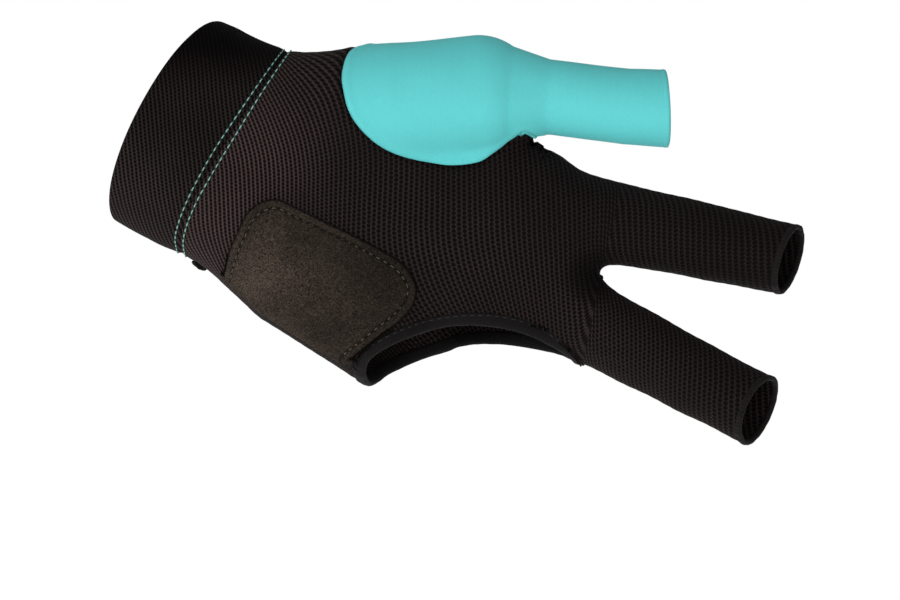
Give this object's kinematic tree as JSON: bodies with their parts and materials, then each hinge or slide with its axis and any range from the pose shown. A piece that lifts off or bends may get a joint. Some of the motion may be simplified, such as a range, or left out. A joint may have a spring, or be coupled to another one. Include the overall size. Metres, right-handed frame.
{
  "type": "billiard glove",
  "caption": "Left-hand open-fingertip billiard glove in black mesh knit with a turquoise thumb panel, a suede heel patch and a bound opening for the ring and little fingers.",
  "frame": {"origin": "middle of the wrist opening, where the glove sits on the wrist", "axes": "+X from the wrist to the fingers, +Z to the thumb side, the palm faces -Y"},
  "size_m": [0.1967, 0.0559, 0.1152],
  "materials": {
    "mesh_knit": "open black mesh knit, soft matt",
    "cuff_knit": "double black fine knit with two rows of teal stitching",
    "thumb_lycra": "smooth turquoise stretch knit",
    "suede": "dark brown-black suede",
    "binding_tape": "black folded tape"
  },
  "bodies": {
    "root": {"wrist_band": "cuff_knit", "palm_panel": "mesh_knit", "back_panel": "mesh_knit", "thumb_sleeve": "thumb_lycra", "heel_patch": "suede", "opening_binding": "binding_tape"}
  },
  "joints": []
}
